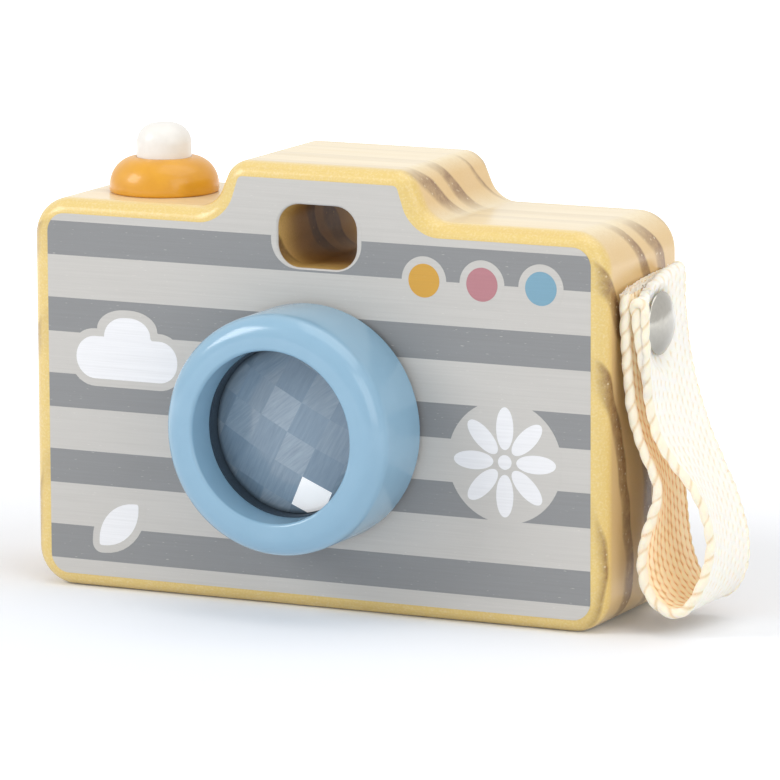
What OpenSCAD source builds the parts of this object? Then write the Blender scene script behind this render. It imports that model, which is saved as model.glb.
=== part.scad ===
// Wooden toy camera: a pine block with a turning lens ring, a sprung button and a wrist strap.
// Frame: origin at the middle of the underside, the printed front faces -Y, +Z up, millimetres.

/* [Block] */
// Width of the block across its front
body_w = 130; // [120:1:150]
// Depth of the block from front to back
body_d = 38; // [32:1:50]
// Height of the two shoulders above the underside
shoulder_h = 81.6; // [78:0.1:95]
// Rise of the crown above the shoulders
crown_rise = 10.1; // [8:0.1:14]
// Width of the crown's top before its corners are rounded
crown_w = 40.2; // [34:0.1:46]
// Sideways shift of the crown from the middle of the block
crown_shift = 1.2; // [-4:0.1:4]
// Slope of the crown's sides, from level
crown_slope = 67; // [60:1:80]
// Radius of the block's four outer corners, seen from the front
corner_r = 8; // [6:0.5:12]
// Radius of the crown's two upper corners
crown_corner_r = 5; // [4.2:0.1:6]
// Radius of the hollow between crown and shoulder
crown_fillet_r = 6; // [3:0.1:7]
// Radius of the round along the front and back edges
edge_r = 3.5; // [2:0.1:4]

/* [Viewfinder] */
// Width of the viewfinder tunnel
finder_w = 17.8; // [14:0.1:22]
// Height of the viewfinder tunnel
finder_h = 13; // [11:0.1:15]
// Corner radius of the tunnel
finder_r = 4.8; // [2:0.1:5.4]
// Wood left above the tunnel
finder_cover = 8; // [6:0.1:10]

/* [Lens ring] */
// Height of the lens axis above the underside
lens_h = 39; // [34:0.1:42]
// Outer diameter of the ring
ring_d = 49.5; // [46:0.5:54]
// Wall of the ring in front of the lens
ring_wall = 7.1; // [6.3:0.1:8]
// Length of the ring from back to front
ring_len = 18.8; // [16:0.1:24]
// Round on the ring's outer front edge
ring_round = 4.5; // [2:0.1:5.5]
// Round on the edge of the ring's bore
ring_lip_round = 0.8; // [0.3:0.1:1.5]
// Depth of the bore from the ring's front to the gasket
lip_depth = 7.9; // [6:0.1:10]

/* [Lens] */
// Hold of the ring's lip over the edge of the lens
lip_hold = 1.3; // [1:0.1:2.5]
// Thickness of the lens at its edge
lens_edge_t = 3; // [2:0.1:4]
// Rise of the faceted dome above the lens's edge
dome_rise = 3; // [2:0.1:4]
// Height at which the dome's facets meet its rim
dome_rim = 0.5; // [0.3:0.1:1]
// Side of one square facet
facet_pitch = 6.8; // [5:0.1:9]
// Turn of the facet pattern about the lens axis
facet_turn = -27; // [-45:1:45]
// Width of the gasket that shows inside the ring's bore
gasket_show = 0.3; // [0.2:0.1:1]
// Depth of the gasket from the ring's lip to the lens
gasket_t = 3.2; // [2:0.1:4]

/* [Lens bearing] */
// Step from the sleeve's flange down to its tube
sleeve_step = 1.8; // [1:0.1:2.8]
// Wall of the turning sleeve
sleeve_wall = 3.5; // [3:0.1:6]
// Reach of the sleeve into the block
sleeve_reach = 13; // [10:0.5:15]
// Wall of the bush in the block
bush_wall = 2.4; // [2.2:0.1:3.4]
// Inset of the bush's flange behind the ring's outer edge
bush_inset = 1.7; // [1:0.1:3]
// Thickness of the bush's flange
bush_flange_t = 0.8; // [0.6:0.1:1.5]
// Thickness of the split snap ring
snap_t = 1.2; // [0.8:0.1:2]
// Depth of the snap ring's hold in the bush and in the sleeve
snap_hold = 1.1; // [0.8:0.1:1.2]
// Wood or sleeve left beyond the snap ring's groove
snap_back = 2.5; // [2:0.1:4]
// Width of the snap ring's split
snap_split = 4; // [2:0.5:8]
// Diameter of the sight hole in the back
sight_d = 18; // [12:0.5:20]

/* [Button] */
// Place of the button's axis along the left shoulder, as a share of the shoulder's length
button_share = 0.514; // [0.46:0.001:0.56]
// Diameter of the button
button_d = 11.5; // [9:0.1:12]
// Height of the button above its collar
button_proud = 7; // [5:0.1:9]
// Round on the button's top
button_round = 4.2; // [2:0.1:4.4]
// Diameter of the collar
collar_d = 23.2; // [20:0.1:26]
// Height of the collar above the shoulder
collar_h = 7.3; // [6.5:0.1:9]
// Round of the collar's dome
collar_round = 6.1; // [4:0.1:6.4]
// Diameter of the collar's tenon in the block
tenon_d = 16; // [15:0.1:18]
// Length of the collar's tenon
tenon_len = 6; // [4:0.5:8]
// Thickness of the flange that keeps the button in
flange_t = 2.4; // [1.5:0.1:4]
// Height of the spring with the button up
spring_len = 14.5; // [12:0.5:18]
// Diameter of the spring at the middle of its wire
spring_d = 10.6; // [9:0.1:12]
// Diameter of the spring's wire
wire_d = 0.9; // [0.6:0.1:1]
// Number of turns in the spring
spring_turns = 6; // [4:1:7]

/* [Strap] */
// Width of the webbing
strap_w = 25; // [20:0.5:28]
// Thickness of the webbing
strap_t = 1.4; // [1:0.1:1.5]
// Distance of the strap's middle from the middle of the block's depth, towards the front
strap_forward = 2.1; // [0:0.1:4]
// Height of the tack above the underside
tack_h = 61.9; // [59:0.1:64]
// Distance of the tack from the middle of the block's depth, towards the front
tack_forward = 3.5; // [0:0.1:5]
// Drop of the loop's lowest point below the tack
strap_drop = 55.9; // [46:0.1:56]
// Reach of the loop out from the innermost layer
loop_out = 18.1; // [16:0.1:24]
// Height of the folded top above the tack
fold_rise = 8; // [7.5:0.1:10]
// Height of the cut end above the tack
cut_rise = 7; // [5:0.1:9]
// Length below the tack over which the three layers lie flat
stack_h = 9.5; // [8.5:0.1:10.5]
// Diameter of the tack's head
head_d = 13; // [10:0.1:13.5]
// Rise of the tack's domed head
head_rise = 2.4; // [1.5:0.1:4]
// Diameter of the tack's shank
shank_d = 3; // [2:0.1:4]
// Length of the tack's shank in the wood
shank_hold = 13; // [8:0.5:20]

/* [Hidden] */
$fn = 64;

// Clearances: a running fit, a glued fit, a free gap and a gap between flat faces
run_gap = 0.08;
glue_gap = 0.05;
free_gap = 0.4;
face_gap = 0.2;
// Overrun of a cut past the face that it opens
overrun = 2;

// Steps of the rounded forms
corner_steps = 8;
edge_steps = 6;
coil_rings = 8;
coil_sides = 6;
span_steps = 4;
fold_steps = 8;

// Block
crown_h = shoulder_h + crown_rise;
crown_foot_w = crown_w + 2 * crown_rise / tan(crown_slope);
front_y = -body_d / 2;
finder_z = crown_h - finder_cover - finder_h / 2;

// Diameters of the lens stack, from the ring's inwards
ring_bore_d = ring_d - 2 * ring_wall;
lens_d = ring_bore_d + 2 * lip_hold;
sleeve_d = lens_d - 2 * sleeve_step;
sleeve_bore_d = sleeve_d - 2 * sleeve_wall;
bush_flange_d = ring_d - 2 * bush_inset;

// Lens stack, measured forwards from the back of the ring
ring_back_y = front_y - bush_flange_t - face_gap;
seat_h = ring_len - lip_depth;
lens_top_h = seat_h - gasket_t;
lens_base_h = lens_top_h - lens_edge_t;
lens_seat_r = lens_d / 2 + glue_gap;
gasket_r = ring_bore_d / 2 - gasket_show;
dome_r = gasket_r - face_gap;
dome_curve = pow(dome_r, 2) / (2 * (dome_rise - dome_rim));
facet_half = ceil(dome_r / facet_pitch);

// Bearing, measured forwards from the block's front face
bush_r = sleeve_d / 2 + run_gap;
bush_outer_r = bush_r + bush_wall;
socket_r = bush_outer_r + glue_gap;
socket_depth = sleeve_reach + free_gap;
snap_h = snap_back - sleeve_reach;
snap_outer_r = bush_r + snap_hold;
snap_inner_r = sleeve_d / 2 - snap_hold;

// Button, from the shoulder down
button_x = button_share * (body_w / 2 + crown_shift - crown_foot_w / 2) - body_w / 2;
well_r = tenon_d / 2 + glue_gap;
button_bore_r = button_d / 2 + run_gap;
flange_top_h = -tenon_len - glue_gap;
flange_base_h = flange_top_h - flange_t;
well_floor_h = flange_base_h - spring_len;
flange_r = well_r - free_gap;
pilot_r = spring_d / 2 - wire_d / 2 - free_gap;
pilot_share = 0.2;

// Strap and tack, outwards from the block's right side
layer_pitch = strap_t + face_gap;
strap_x = body_w / 2 + face_gap + strap_t / 2;
head_x = strap_x + 2 * layer_pitch + strap_t / 2 + face_gap;
head_curve = (pow(head_rise, 2) + pow(head_d / 2, 2)) / (2 * head_rise);
point_share = 0.25;
// The loop below the stack, as shares of its reach outwards and of its drop below the tack
loop_shares = [[0.10, 0.32], [0.19, 0.46], [0.245, 0.57], [0.245, 0.67], [0.22, 0.76], [0.22, 0.84],
               [0.30, 0.93], [0.47, 0.985], [0.68, 1], [0.87, 0.945], [0.975, 0.86], [1, 0.78],
               [0.96, 0.69], [0.86, 0.61], [0.68, 0.54], [0.48, 0.475], [0.36, 0.39], [0.26, 0.26]];

// Small helpers for directions in a plane
function unit(v) = v / norm(v);
function outward(d) = [d[1], -d[0]];
function bearing(v) = atan2(v[1], v[0]);
function wrap(a) = a > 180 ? a - 360 : a < -180 ? a + 360 : a;

// Corners of the front outline, anticlockwise from the lower left, each with its radius
outline_corners = [
    [[-body_w / 2, 0], corner_r],
    [[body_w / 2, 0], corner_r],
    [[body_w / 2, shoulder_h], corner_r],
    [[crown_shift + crown_foot_w / 2, shoulder_h], crown_fillet_r],
    [[crown_shift + crown_w / 2, crown_h], crown_corner_r],
    [[crown_shift - crown_w / 2, crown_h], crown_corner_r],
    [[crown_shift - crown_foot_w / 2, shoulder_h], crown_fillet_r],
    [[-body_w / 2, shoulder_h], corner_r]];

// One rounded corner, drawn in by an inset: an outer corner tightens and a hollow one opens
function corner_arc(before, corner, after, r, inset) =
    let (d_in = unit(corner - before), d_out = unit(after - corner),
         start = bearing(outward(d_in)),
         turn = wrap(bearing(outward(d_out)) - start),
         side = sign(turn),
         centre = corner - d_in * r * tan(abs(turn) / 2) - side * outward(d_in) * r)
    [for (k = [0 : corner_steps])
        let (a = start + turn * k / corner_steps)
        centre + side * (r - side * inset) * [cos(a), sin(a)]];

// The whole outline at one inset
function outline(inset) =
    let (c = outline_corners, n = len(c))
    [for (i = [0 : n - 1])
        each corner_arc(c[(i + n - 1) % n][0], c[i][0], c[(i + 1) % n][0], c[i][1], inset)];

// The block's rings from front to back, each a place in depth and an inset
front_rings = [for (k = [0 : edge_steps])
    let (a = 90 * k / edge_steps)
    [front_y + edge_r * (1 - cos(a)), edge_r * (1 - sin(a))]];
back_rings = [for (k = [edge_steps : -1 : 0]) [-front_rings[k][0], front_rings[k][1]]];
block_rings = concat(front_rings, back_rings);

// Triangles of a tube's wall through rings of n points each
function wall_faces(n, count) =
    [for (k = [0 : count - 2]) for (i = [0 : n - 1])
        let (a = k * n + i, b = k * n + (i + 1) % n)
        each [[a, b, b + n], [a, b + n, a + n]]];
function reversed(list) = [for (i = [len(list) - 1 : -1 : 0]) list[i]];

// Convex pieces of the flat front: the block below the crown, and the crown in level strips
corner_count = corner_steps + 1;
function corner_run(c) = [for (k = [0 : corner_steps]) c * corner_count + k];
crown_right = concat(corner_run(3), corner_run(4));
crown_left = reversed(concat(corner_run(5), corner_run(6)));
flat_faces = concat(
    [concat(corner_run(0), corner_run(1), corner_run(2), [crown_right[0], crown_left[0]], corner_run(7))],
    [for (i = [0 : len(crown_right) - 2])
        [crown_right[i], crown_right[i + 1], crown_left[i + 1], crown_left[i]]]);

module rounded_block() {
    n = len(outline(0));
    last = n * (len(block_rings) - 1);
    points = [for (ring = block_rings) for (p = outline(ring[1])) [p[0], ring[0], p[1]]];
    polyhedron(points, concat(
        wall_faces(n, len(block_rings)),
        [for (f = flat_faces) reversed(f)],
        [for (f = flat_faces) [for (i = f) last + i]]));
}

// A plate with rounded corners, centred
module rounded_plate(w, h, r) {
    square([w, h - 2 * r], center = true);
    square([w - 2 * r, h], center = true);
    for (x = [-1, 1], y = [-1, 1])
        translate([x * (w / 2 - r), y * (h / 2 - r)]) circle(r);
}

// Puts a shape on the lens axis at a place in depth, its +Z towards the front
module on_lens_axis(y) {
    translate([0, y, lens_h]) rotate([90, 0, 0]) children();
}

// Puts a shape on the button's axis at a height from the shoulder
module on_button_axis(h) {
    translate([button_x, 0, shoulder_h + h]) children();
}

// Puts a shape on the tack's axis at a place across the block, its +Z outwards
module on_tack_axis(x) {
    translate([x, -tack_forward, tack_h]) rotate([0, 90, 0]) children();
}

// A tube from its own base
module tube(outer_r, inner_r, h) {
    difference() {
        cylinder(r = outer_r, h = h);
        translate([0, 0, -overrun]) cylinder(r = inner_r, h = h + 2 * overrun);
    }
}

// Half section of a disc with a round on its upper outer edge
module rounded_half_section(r, h, round_r) {
    square([r, h - round_r]);
    square([r - round_r, h]);
    intersection() {
        translate([r - round_r, h - round_r]) circle(round_r);
        square([r, h]);
    }
}

module body_block() {
    color("burlywood")
    difference() {
        rounded_block();
        translate([crown_shift, 0, finder_z]) rotate([90, 0, 0])
            linear_extrude(body_d + 2 * overrun, center = true) rounded_plate(finder_w, finder_h, finder_r);
        on_lens_axis(front_y + socket_depth) cylinder(r = socket_r, h = socket_depth + overrun);
        on_lens_axis(-front_y + overrun) cylinder(r = sight_d / 2, h = body_d);
        on_button_axis(well_floor_h) cylinder(r = well_r, h = overrun - well_floor_h);
        on_tack_axis(body_w / 2 - shank_hold - free_gap)
            cylinder(r = shank_d / 2 + glue_gap, h = shank_hold + free_gap + overrun);
    }
}

module lens_ring() {
    color("lightskyblue")
    on_lens_axis(ring_back_y)
    rotate_extrude()
    difference() {
        rounded_half_section(ring_d / 2, ring_len, ring_round);
        square([ring_bore_d / 2, ring_len]);
        square([lens_seat_r, seat_h]);
        translate([ring_bore_d / 2, ring_len - ring_lip_round])
        difference() {
            square(ring_lip_round);
            translate([ring_lip_round, 0]) circle(ring_lip_round);
        }
    }
}

// Height of the faceted dome's knots along one axis: the chords of a parabola
function knot_drop(i) = -pow(facet_pitch * i, 2) / (2 * dome_curve);

// A square field of flat facets under a parabolic dome, four of which meet on the axis, over a flat base
module facet_field() {
    knots = [for (i = [-facet_half : facet_half]) i];
    n = len(knots);
    points = concat(
        [for (j = knots) for (i = knots)
            [i * facet_pitch, j * facet_pitch, dome_rise + knot_drop(i) + knot_drop(j)]],
        [for (j = knots) for (i = knots)
            [i * facet_pitch, j * facet_pitch, -lens_edge_t - dome_rise]]);
    base = n * n;
    facets = [for (j = [0 : n - 2]) for (i = [0 : n - 2])
        [j * n + i, (j + 1) * n + i, (j + 1) * n + i + 1, j * n + i + 1]];
    rim = concat([for (i = [0 : n - 2]) i], [for (j = [0 : n - 2]) j * n + n - 1],
                 [for (i = [n - 1 : -1 : 1]) (n - 1) * n + i], [for (j = [n - 1 : -1 : 1]) j * n]);
    polyhedron(points, concat(
        facets,
        [for (f = facets) reversed([for (i = f) base + i])],
        [for (k = [0 : len(rim) - 1])
            let (a = rim[k], b = rim[(k + 1) % len(rim)])
            [a, b, base + b, base + a]]));
}

module faceted_lens() {
    color("lightsteelblue", 0.6)
    on_lens_axis(ring_back_y - lens_top_h) {
        translate([0, 0, -lens_edge_t]) cylinder(d = lens_d, h = lens_edge_t);
        intersection() {
            rotate(facet_turn) facet_field();
            translate([0, 0, -lens_edge_t]) cylinder(r = dome_r, h = lens_edge_t + dome_rise + overrun);
        }
    }
}

module lens_gasket() {
    color("darkslategray")
    on_lens_axis(ring_back_y - lens_top_h) tube(lens_d / 2, gasket_r, gasket_t);
}

module turning_sleeve() {
    color("slategray")
    difference() {
        union() {
            on_lens_axis(ring_back_y) cylinder(d = lens_d, h = lens_base_h);
            on_lens_axis(front_y + sleeve_reach)
                cylinder(d = sleeve_d, h = sleeve_reach + front_y - ring_back_y + lens_base_h);
        }
        on_lens_axis(front_y + sleeve_reach + overrun)
            cylinder(d = sleeve_bore_d, h = body_d + ring_len + overrun);
        on_lens_axis(front_y - snap_h)
            translate([0, 0, -free_gap])
            tube(sleeve_d / 2 + overrun, snap_inner_r - free_gap, snap_t + 2 * free_gap);
    }
}

module lens_bush() {
    color("dimgray")
    difference() {
        union() {
            on_lens_axis(front_y) cylinder(d = bush_flange_d, h = bush_flange_t);
            on_lens_axis(front_y + socket_depth) cylinder(r = bush_outer_r, h = socket_depth + bush_flange_t);
        }
        on_lens_axis(front_y + socket_depth + overrun)
            cylinder(r = bush_r, h = socket_depth + bush_flange_t + 2 * overrun);
        on_lens_axis(front_y - snap_h)
            cylinder(r = snap_outer_r + glue_gap, h = snap_t);
    }
}

module snap_ring() {
    color("silver")
    on_lens_axis(front_y - snap_h)
    difference() {
        tube(snap_outer_r, snap_inner_r, snap_t);
        translate([-snap_split / 2, -snap_outer_r - overrun, -overrun])
            cube([snap_split, snap_outer_r + overrun, snap_t + 2 * overrun]);
    }
}

module button_collar() {
    color("orange")
    difference() {
        union() {
            on_button_axis(0)
            rotate_extrude()
            intersection() {
                square([collar_d / 2, collar_h]);
                union() {
                    square([collar_d / 2 - collar_round, collar_h]);
                    translate([collar_d / 2 - collar_round, collar_h - collar_round]) circle(collar_round);
                }
            }
            on_button_axis(-tenon_len) cylinder(d = tenon_d, h = tenon_len + collar_h - collar_round);
        }
        on_button_axis(-tenon_len - overrun)
            cylinder(r = button_bore_r, h = tenon_len + collar_h + 2 * overrun);
    }
}

module shutter_button() {
    color("white") {
        on_button_axis(flange_base_h)
            rotate_extrude()
            rounded_half_section(button_d / 2, collar_h + button_proud - flange_base_h, button_round);
        on_button_axis(flange_base_h) cylinder(r = flange_r, h = flange_t);
        on_button_axis(flange_base_h - spring_len * pilot_share)
            cylinder(r = pilot_r, h = spring_len * pilot_share + flange_t);
    }
}

// Centres of the spring's rings, from its foot up
coil_foot = wire_d / 2 + glue_gap;
coil_rise = spring_len - 2 * coil_foot;
coil_count = spring_turns * coil_rings;
coil_centres = [for (k = [0 : coil_count])
    let (a = 360 * k / coil_rings)
    [spring_d / 2 * cos(a), spring_d / 2 * sin(a), coil_foot + coil_rise * k / coil_count]];
coil_lead = atan2(coil_rise / spring_turns, PI * spring_d);
// Least gap between one turn and the next, measured on the centres
coil_gap = min([for (i = [0 : coil_count - coil_rings]) for (j = [i + coil_rings / 2 : coil_count])
    norm(coil_centres[j] - coil_centres[i])]) - wire_d;
echo(spring_least_gap = coil_gap);

module button_spring() {
    points = [for (k = [0 : coil_count])
        let (a = 360 * k / coil_rings,
             out = [cos(a), sin(a), 0],
             up = [sin(coil_lead) * sin(a), -sin(coil_lead) * cos(a), cos(coil_lead)])
        for (s = [0 : coil_sides - 1])
            let (b = 360 * s / coil_sides)
            coil_centres[k] + wire_d / 2 * (cos(b) * out + sin(b) * up)];
    foot = [for (i = [coil_sides - 1 : -1 : 0]) i];
    top = [for (i = [0 : coil_sides - 1]) coil_count * coil_sides + i];
    color("gainsboro")
    on_button_axis(well_floor_h)
    polyhedron(points, concat(wall_faces(coil_sides, coil_count + 1), [foot, top]));
}

// The webbing's middle line, from the cut end down round the loop and up to the fold
function layer_x(i) = strap_x + i * layer_pitch;
strap_controls = concat(
    [[layer_x(0), tack_h + cut_rise], [layer_x(0), tack_h], [layer_x(0), tack_h - stack_h]],
    [for (s = loop_shares) [strap_x + s[0] * loop_out, tack_h - s[1] * strap_drop]],
    [[layer_x(2), tack_h - stack_h], [layer_x(2), tack_h], [layer_x(2), tack_h + fold_rise]]);

// A smooth curve through the controls, with a share of the way along one span
function curve_point(c, i, t) =
    let (n = len(c), a = c[max(i - 1, 0)], b = c[i], d = c[i + 1], e = c[min(i + 2, n - 1)])
    (2 * b + (d - a) * t + (2 * a - 5 * b + 4 * d - e) * pow(t, 2)
        + (3 * b - a - 3 * d + e) * pow(t, 3)) / 2;
loop_line = concat(
    [for (i = [0 : len(strap_controls) - 2]) for (k = [0 : span_steps - 1])
        curve_point(strap_controls, i, k / span_steps)],
    [strap_controls[len(strap_controls) - 1]]);

// The fold at the top and the end tucked in behind it
fold_line = [for (k = [1 : fold_steps])
    let (a = 180 * k / fold_steps)
    [layer_x(1.5), tack_h + fold_rise] + layer_pitch / 2 * [cos(a), sin(a)]];
tuck_end = [layer_x(1), tack_h - stack_h];
strap_line = concat(loop_line, fold_line, [tuck_end]);

// One side of the webbing, half its thickness away from the middle line
function webbing_side(side) =
    [for (i = [0 : len(strap_line) - 1])
        let (along = unit(strap_line[min(i + 1, len(strap_line) - 1)] - strap_line[max(i - 1, 0)]))
        strap_line[i] + side * strap_t / 2 * outward(along)];

module strap() {
    other_side = webbing_side(-1);
    color("cornsilk")
    difference() {
        translate([0, strap_w / 2 - strap_forward, 0]) rotate([90, 0, 0])
            linear_extrude(strap_w)
            polygon(concat(webbing_side(1), [for (i = [len(other_side) - 1 : -1 : 0]) other_side[i]]));
        on_tack_axis(body_w / 2) cylinder(r = shank_d / 2 + run_gap, h = head_x - body_w / 2 + overrun);
    }
}

module strap_tack() {
    shank_len = shank_hold + head_x - body_w / 2;
    point_len = shank_hold * point_share;
    color("silver")
    on_tack_axis(head_x)
    rotate_extrude() {
        intersection() {
            square([head_d / 2, head_rise]);
            translate([0, head_rise - head_curve]) circle(head_curve);
        }
        polygon([[0, -shank_len], [shank_d / 2, point_len - shank_len],
                 [shank_d / 2, head_rise / 2], [0, head_rise / 2]]);
    }
}

body_block();
lens_ring();
faceted_lens();
lens_gasket();
turning_sleeve();
lens_bush();
snap_ring();
button_collar();
shutter_button();
button_spring();
strap();
strap_tack();
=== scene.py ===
# %% [markdown]
# # A wooden toy camera
# The toy is a pine block with a printed front, a painted ring that turns with a faceted lens,
# a sprung button in a collar and a wrist strap of cotton webbing.
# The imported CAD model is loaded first. It fixes every size, place and joint, so the pieces made
# here only have to look like the real ones. All pieces are drawn in millimetres, which is how such
# a toy is measured, and turned into metres once, when they become objects.

# %% Load the frame
import math
import random
from functools import partial

import bmesh
import bpy
from mathutils import Matrix, Vector


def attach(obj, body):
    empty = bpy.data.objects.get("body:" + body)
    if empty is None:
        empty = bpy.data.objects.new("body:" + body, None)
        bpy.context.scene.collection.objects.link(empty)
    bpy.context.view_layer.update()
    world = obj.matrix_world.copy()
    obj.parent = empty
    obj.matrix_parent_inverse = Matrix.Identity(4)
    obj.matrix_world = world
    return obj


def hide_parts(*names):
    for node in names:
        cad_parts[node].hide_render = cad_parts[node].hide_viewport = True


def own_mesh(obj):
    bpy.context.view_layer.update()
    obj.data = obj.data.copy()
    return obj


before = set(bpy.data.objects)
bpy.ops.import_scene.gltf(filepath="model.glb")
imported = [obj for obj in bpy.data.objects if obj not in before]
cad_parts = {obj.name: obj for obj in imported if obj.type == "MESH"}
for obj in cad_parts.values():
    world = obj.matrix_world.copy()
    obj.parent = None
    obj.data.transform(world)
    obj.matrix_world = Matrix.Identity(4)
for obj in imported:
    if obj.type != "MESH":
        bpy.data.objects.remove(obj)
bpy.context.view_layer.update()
scene = bpy.context.scene
MM = 0.001

# %% [markdown]
# ## Where the camera stands
# The view was worked out from the straight edges of the printed front: it looks from the right
# and a little from above through a long lens, so the edges hardly converge. A camera could be
# aimed with a constraint, but a matrix of three axes also takes in the slight roll of the picture.

# %% Camera
VIEW_AZIMUTH, VIEW_ELEVATION, VIEW_ROLL = (math.radians(a) for a in (25.636, 10.016, -0.244))
VIEW_ANGLE = math.radians(7.037)
VIEW_TARGET = Vector((7.785, 1.16, 42.98)) * MM
VIEW_DISTANCE = 1306.3 * MM

back = Vector((math.sin(VIEW_AZIMUTH) * math.cos(VIEW_ELEVATION),
               -math.cos(VIEW_AZIMUTH) * math.cos(VIEW_ELEVATION), math.sin(VIEW_ELEVATION)))
level = Vector((math.cos(VIEW_AZIMUTH), math.sin(VIEW_AZIMUTH), 0))
upright = back.cross(level)
across = level * math.cos(VIEW_ROLL) + upright * math.sin(VIEW_ROLL)
upward = upright * math.cos(VIEW_ROLL) - level * math.sin(VIEW_ROLL)

lens_data = bpy.data.cameras.new("photo_view")
lens_data.angle = VIEW_ANGLE
camera = bpy.data.objects.new("photo_view", lens_data)
scene.collection.objects.link(camera)
camera.matrix_world = (Matrix.Translation(VIEW_TARGET + back * VIEW_DISTANCE)
                       @ Matrix((across, upward, back)).transposed().to_4x4())
scene.camera = camera
scene.view_settings.view_transform = "Standard"
print("camera at", [round(c, 3) for c in camera.location], "m, lens", round(lens_data.lens, 1), "mm")

# %% [markdown]
# ## Colours and nodes
# Colours are written as the sRGB hex values that a paint card or a picture shows, and turned to
# linear light by one function. Another adds a node, sets it and links it, and a third starts a
# material. Two more make what recurs: a noise drawn out like grain, and a surface's colour, roughness
# and bump. So each material below reads as a short list of what it is made of.

# %% Colour and node helpers
def linear(code):
    """An sRGB hex colour as linear red, green, blue and alpha."""
    parts = [int(code[i:i + 2], 16) / 255 for i in (1, 3, 5)]
    return tuple(c / 12.92 if c <= 0.04045 else ((c + 0.055) / 1.055) ** 2.4 for c in parts) + (1.0,)


def link(source, socket):
    """Links a socket, or the first output in use of a node, to another socket."""
    if isinstance(source, bpy.types.Node):
        source = next(output for output in source.outputs if output.enabled)
    socket.id_data.links.new(source, socket)


def add_node(tree, kind, inputs=None, **settings):
    """Adds a shader node, sets its properties, and sets its inputs or links them.

    Colours are hex values, and a mix is one of colours unless told otherwise.
    """
    node = tree.nodes.new("ShaderNode" + kind)
    if kind == "Mix":
        node.data_type = "RGBA"
    for name, value in settings.items():
        setattr(node, name, value)
    for name, value in (inputs or {}).items():
        if isinstance(value, (bpy.types.Node, bpy.types.NodeSocket)):
            link(value, node.inputs[name])
        else:
            node.inputs[name].default_value = linear(value) if isinstance(value, str) else value
    return node


def start_finish(name, sockets):
    """A new material with constants set, a function that adds nodes to it, its shader and its space."""
    finish = bpy.data.materials.new(name)
    finish.use_nodes = True
    add = partial(add_node, finish.node_tree)
    shader = finish.node_tree.nodes["Principled BSDF"]
    for socket, value in sockets.items():
        shader.inputs[socket].default_value = value
    return finish, add, shader, add("TexCoord").outputs["Object"]


def wear(shader, colour, rough, height, strength, reach):
    """Gives a shader its colour, its roughness, and a bump that reaches so many millimetres."""
    bump = add_node(shader.id_data, "Bump", {"Height": height, "Strength": strength, "Distance": reach * MM})
    for socket, source in (("Base Color", colour), ("Roughness", rough), ("Normal", bump)):
        link(source, shader.inputs[socket])


def drawn_noise(add, place, scale, detail, rough=0.5):
    """Noise that is drawn out along the axes, with so many cells to a millimetre on each."""
    stretched = add("Mapping", {"Vector": place, "Scale": [cells / MM for cells in scale]})
    return add("TexNoise", {"Vector": stretched, "Scale": 1.0, "Detail": detail, "Roughness": rough})


MIX_A, MIX_B = 6, 7
print("white is", [round(c, 3) for c in linear("#FFFFFF")])

# %% [markdown]
# ## Varnished pine
# The block is fast-grown pine under a clear varnish that has yellowed a little. Its grain runs
# along the block, so the growth rings show as long pale bands on top and as curved brown ones on
# the ends. A picture of wood could be wrapped round the block, but then the rings would not meet
# at the edges. Here the rings are true cylinders in space, about an axis in front of the block,
# and every face simply cuts through them. No two years are alike, so a ramp along the radius lists
# the dark late wood of each ring. On the ends it drinks more varnish, turns brown and shows its
# resin ducts as pale dots. The board was stood on its front to dry, so the varnish is thickest and
# most golden there. The fibres are drawn coarser than real ones, which would be too fine to see.
# The same nodes in browner tones give the bare wood inside the viewfinder.

# %% Pine
RING_AXIS_Y, RING_AXIS_Z = -100.0, 8.0
LATE_WOOD = [(81.0, 83.2), (90.6, 95.4), (101.6, 106.6), (117.4, 121.6), (124.2, 128.8),
             (135.6, 137.4), (141.0, 143.0)]
RING_SPAN = (76.0, 150.0)
RING_WAVER, RING_ONSET, RING_CLOSE = 4.0, 1.1, 0.5
FIBRE_WIDTH, MOTTLE_WIDTH, SPECKLE_WIDTH = 0.35, 1.6, 0.45

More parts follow.
